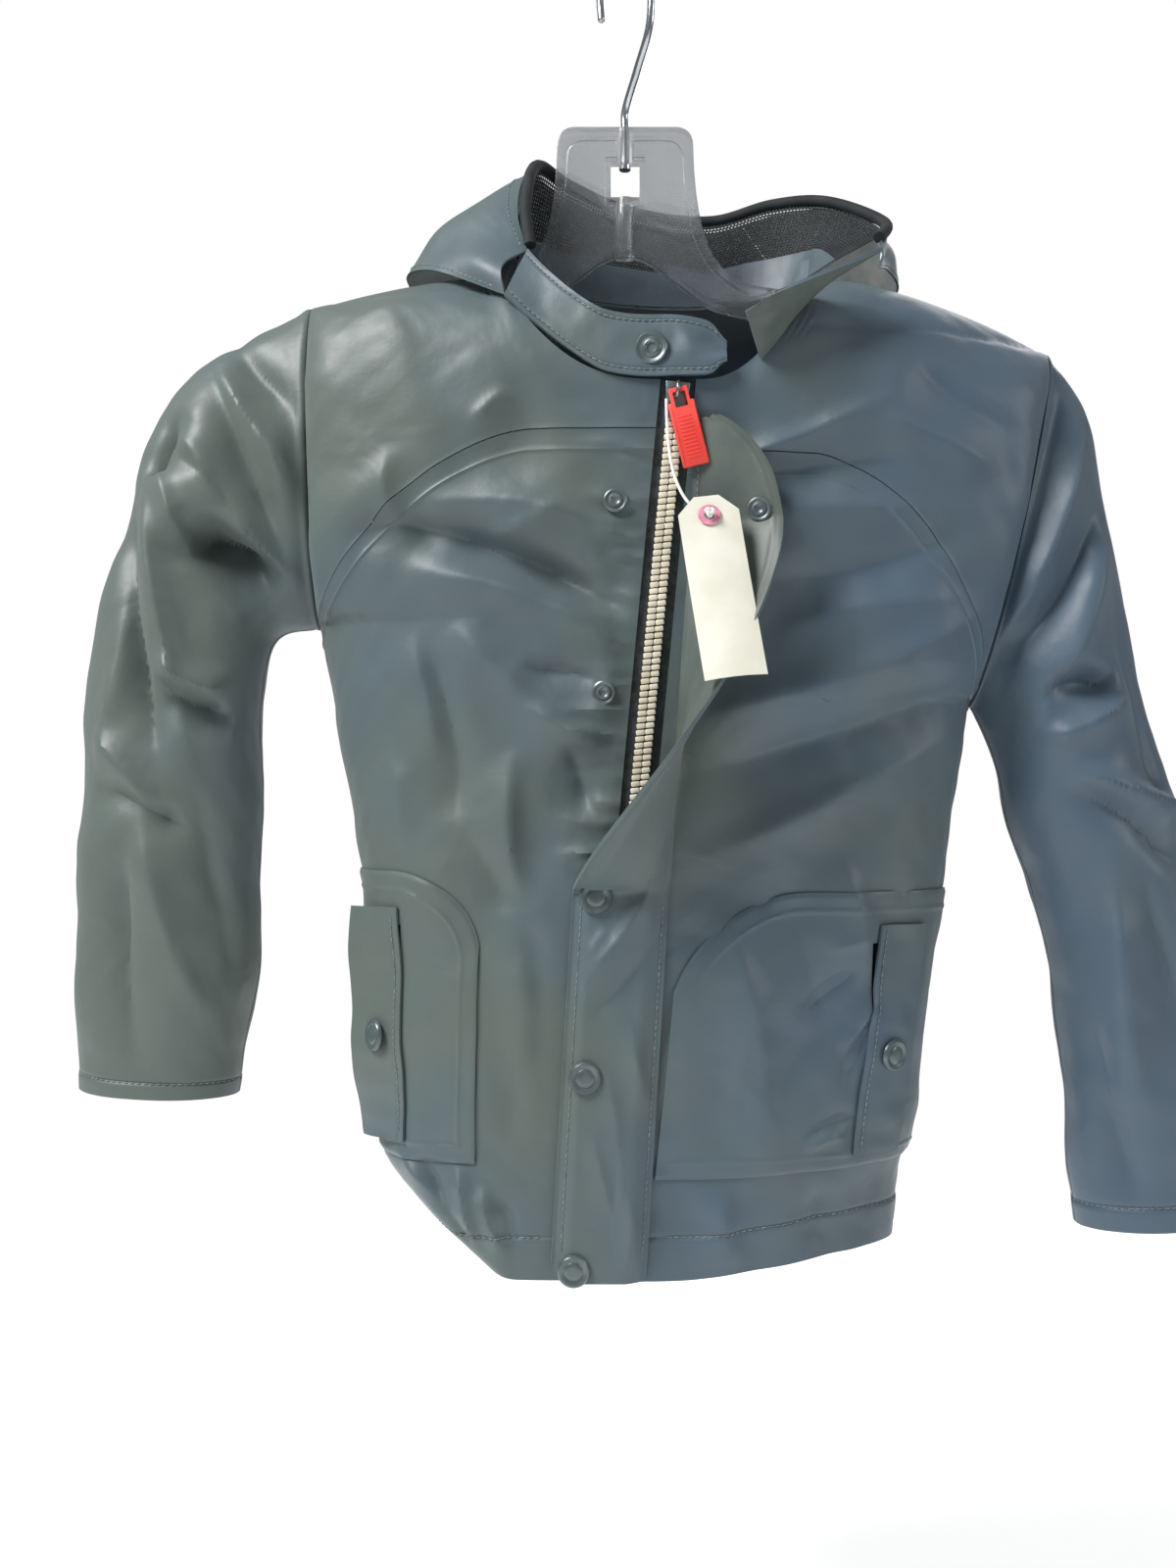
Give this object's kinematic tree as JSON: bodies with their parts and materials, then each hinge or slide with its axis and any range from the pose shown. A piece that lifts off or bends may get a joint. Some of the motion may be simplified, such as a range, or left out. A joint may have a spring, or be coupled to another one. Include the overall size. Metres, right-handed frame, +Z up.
{
  "type": "foul weather jacket",
  "caption": "Child's hooded coated rain jacket on a clear hanger: zip front with a snap storm flap, welded yokes, patch pockets with flaps and straight sleeves.",
  "frame": {"origin": "inside top of the hanger's hook, where it rests on a rail", "axes": "+Z up, -Y the jacket's front, +X the wearer's left"},
  "size_m": [0.5667, 0.1724, 0.6436],
  "materials": {
    "shell_cloth": "satin coated",
    "liner_cloth": "matt",
    "mesh_cloth": "open mesh",
    "flap_cloth": "satin coated",
    "zip_tape": "woven",
    "zip_teeth": "moulded",
    "slider_metal": "satin",
    "pull_plastic": "ribbed",
    "snap_metal": "satin",
    "hanger_clear": "clear",
    "hook_wire": "bright",
    "tag_card": "card",
    "ring_card": "matt",
    "tag_string": "spun",
    "loop_tape": "woven"
  },
  "bodies": {
    "jacket": {"back_panel": "shell_cloth", "back_yoke": "shell_cloth", "right_front_panel": "shell_cloth", "right_front_yoke": "shell_cloth", "right_pocket_patch": "shell_cloth", "right_pocket_bag": "liner_cloth", "right_zip_tape": "zip_tape", "right_zip_teeth": "zip_teeth", "right_vent_eyelet_1": "snap_metal", "right_vent_eyelet_2": "snap_metal", "left_front_panel": "shell_cloth", "left_front_yoke": "shell_cloth", "left_pocket_patch": "shell_cloth", "left_pocket_bag": "liner_cloth", "left_zip_tape": "zip_tape", "left_zip_teeth": "zip_teeth", "left_vent_eyelet_1": "snap_metal", "left_vent_eyelet_2": "snap_metal", "front_stud_1": "snap_metal", "front_stud_2": "snap_metal", "front_stud_3": "snap_metal", "front_stud_4": "snap_metal", "front_stud_5": "snap_metal", "zip_bottom_box": "zip_teeth", "right_collar": "shell_cloth", "left_collar": "shell_cloth", "collar_snap": "snap_metal", "hanging_loop": "loop_tape", "hanger_body": "hanger_clear"},
    "hook": {"hanger_hook": "hook_wire"},
    "slider": {"zip_slider": "slider_metal"},
    "pull": {"zip_pull": "pull_plastic"},
    "tag": {"swing_tag": "tag_card", "tag_ring": "ring_card", "tag_string": "tag_string"},
    "lower_flap": {"storm_flap_lower": "flap_cloth", "storm_flap_twist": "flap_cloth", "flap_snap_1": "snap_metal", "flap_snap_2": "snap_metal", "flap_snap_3": "snap_metal"},
    "upper_flap": {"storm_flap_upper": "flap_cloth", "flap_socket": "snap_metal"},
    "hood": {"hood_right_panel": "shell_cloth", "hood_centre_panel": "shell_cloth", "hood_left_panel": "shell_cloth", "hood_neck_facing": "liner_cloth", "hood_mesh_lining": "mesh_cloth", "hood_edge_binding": "mesh_cloth"},
    "right_arm": {"right_sleeve": "shell_cloth", "right_cuff_facing": "liner_cloth"},
    "left_arm": {"left_sleeve": "shell_cloth", "left_cuff_facing": "liner_cloth"},
    "right_pocket_cover": {"right_pocket_flap": "shell_cloth", "right_pocket_snap": "snap_metal"},
    "left_pocket_cover": {"left_pocket_flap": "shell_cloth", "left_pocket_snap": "snap_metal"}
  },
  "joints": [
    {"name": "hook_swivel", "type": "hinge", "parent": "jacket", "child": "hook", "pos_m": [0, 0, -0.095], "axis": [0, 0, 1], "continuous": true},
    {"name": "zip_slide", "type": "slide", "parent": "jacket", "child": "slider", "axis": [-0.0946, 0, -0.9955], "range_m": [0, 0.12]},
    {"name": "zip_pull_lift", "type": "hinge", "parent": "slider", "child": "pull", "pos_m": [0.02203, -0.06545, -0.23498], "axis": [-0.9703, 0, -0.2419], "range_deg": [0, 110]},
    {"name": "tag_swing", "type": "hinge", "parent": "slider", "child": "tag", "pos_m": [0.017, -0.06495, -0.239], "axis": [-1, 0, 0], "range_deg": [0, 50]},
    {"name": "storm_flap_hinge", "type": "hinge", "parent": "jacket", "child": "lower_flap", "pos_m": [0.008, -0.06145, -0.634], "axis": [0.0593, 0, 0.9982], "range_deg": [0, 115], "deforming": ["storm_flap_twist"]},
    {"name": "storm_flap_top_stays", "type": "hinge", "parent": "lower_flap", "child": "upper_flap", "pos_m": [0.008, -0.06145, -0.634], "axis": [0.0593, 0, 0.9982], "range_deg": [-115, 0]},
    {"name": "hood_fold", "type": "hinge", "parent": "jacket", "child": "hood", "pos_m": [0.015, 0.04, -0.19], "axis": [-1, 0, 0], "range_deg": [0, 40]},
    {"name": "right_sleeve_raise", "type": "hinge", "parent": "jacket", "child": "right_arm", "pos_m": [-0.151, 0, -0.181], "axis": [0, 1, 0], "range_deg": [0, 70]},
    {"name": "left_sleeve_raise", "type": "hinge", "parent": "jacket", "child": "left_arm", "pos_m": [0.203, 0, -0.203], "axis": [0, -1, 0], "range_deg": [0, 70]},
    {"name": "right_pocket_flap_hinge", "type": "hinge", "parent": "jacket", "child": "right_pocket_cover", "pos_m": [-0.10367, -0.04511, -0.5216], "axis": [-0.0309, -0.0013, 0.9995], "range_deg": [0, 110]},
    {"name": "left_pocket_flap_hinge", "type": "hinge", "parent": "jacket", "child": "left_pocket_cover", "pos_m": [0.10961, -0.04948, -0.5296], "axis": [-0.124, 0.0002, -0.9923], "range_deg": [0, 110]}
  ],
  "couplings": [
    {"joint": "storm_flap_top_stays", "follows": "storm_flap_hinge", "ratio": -1}
  ]
}
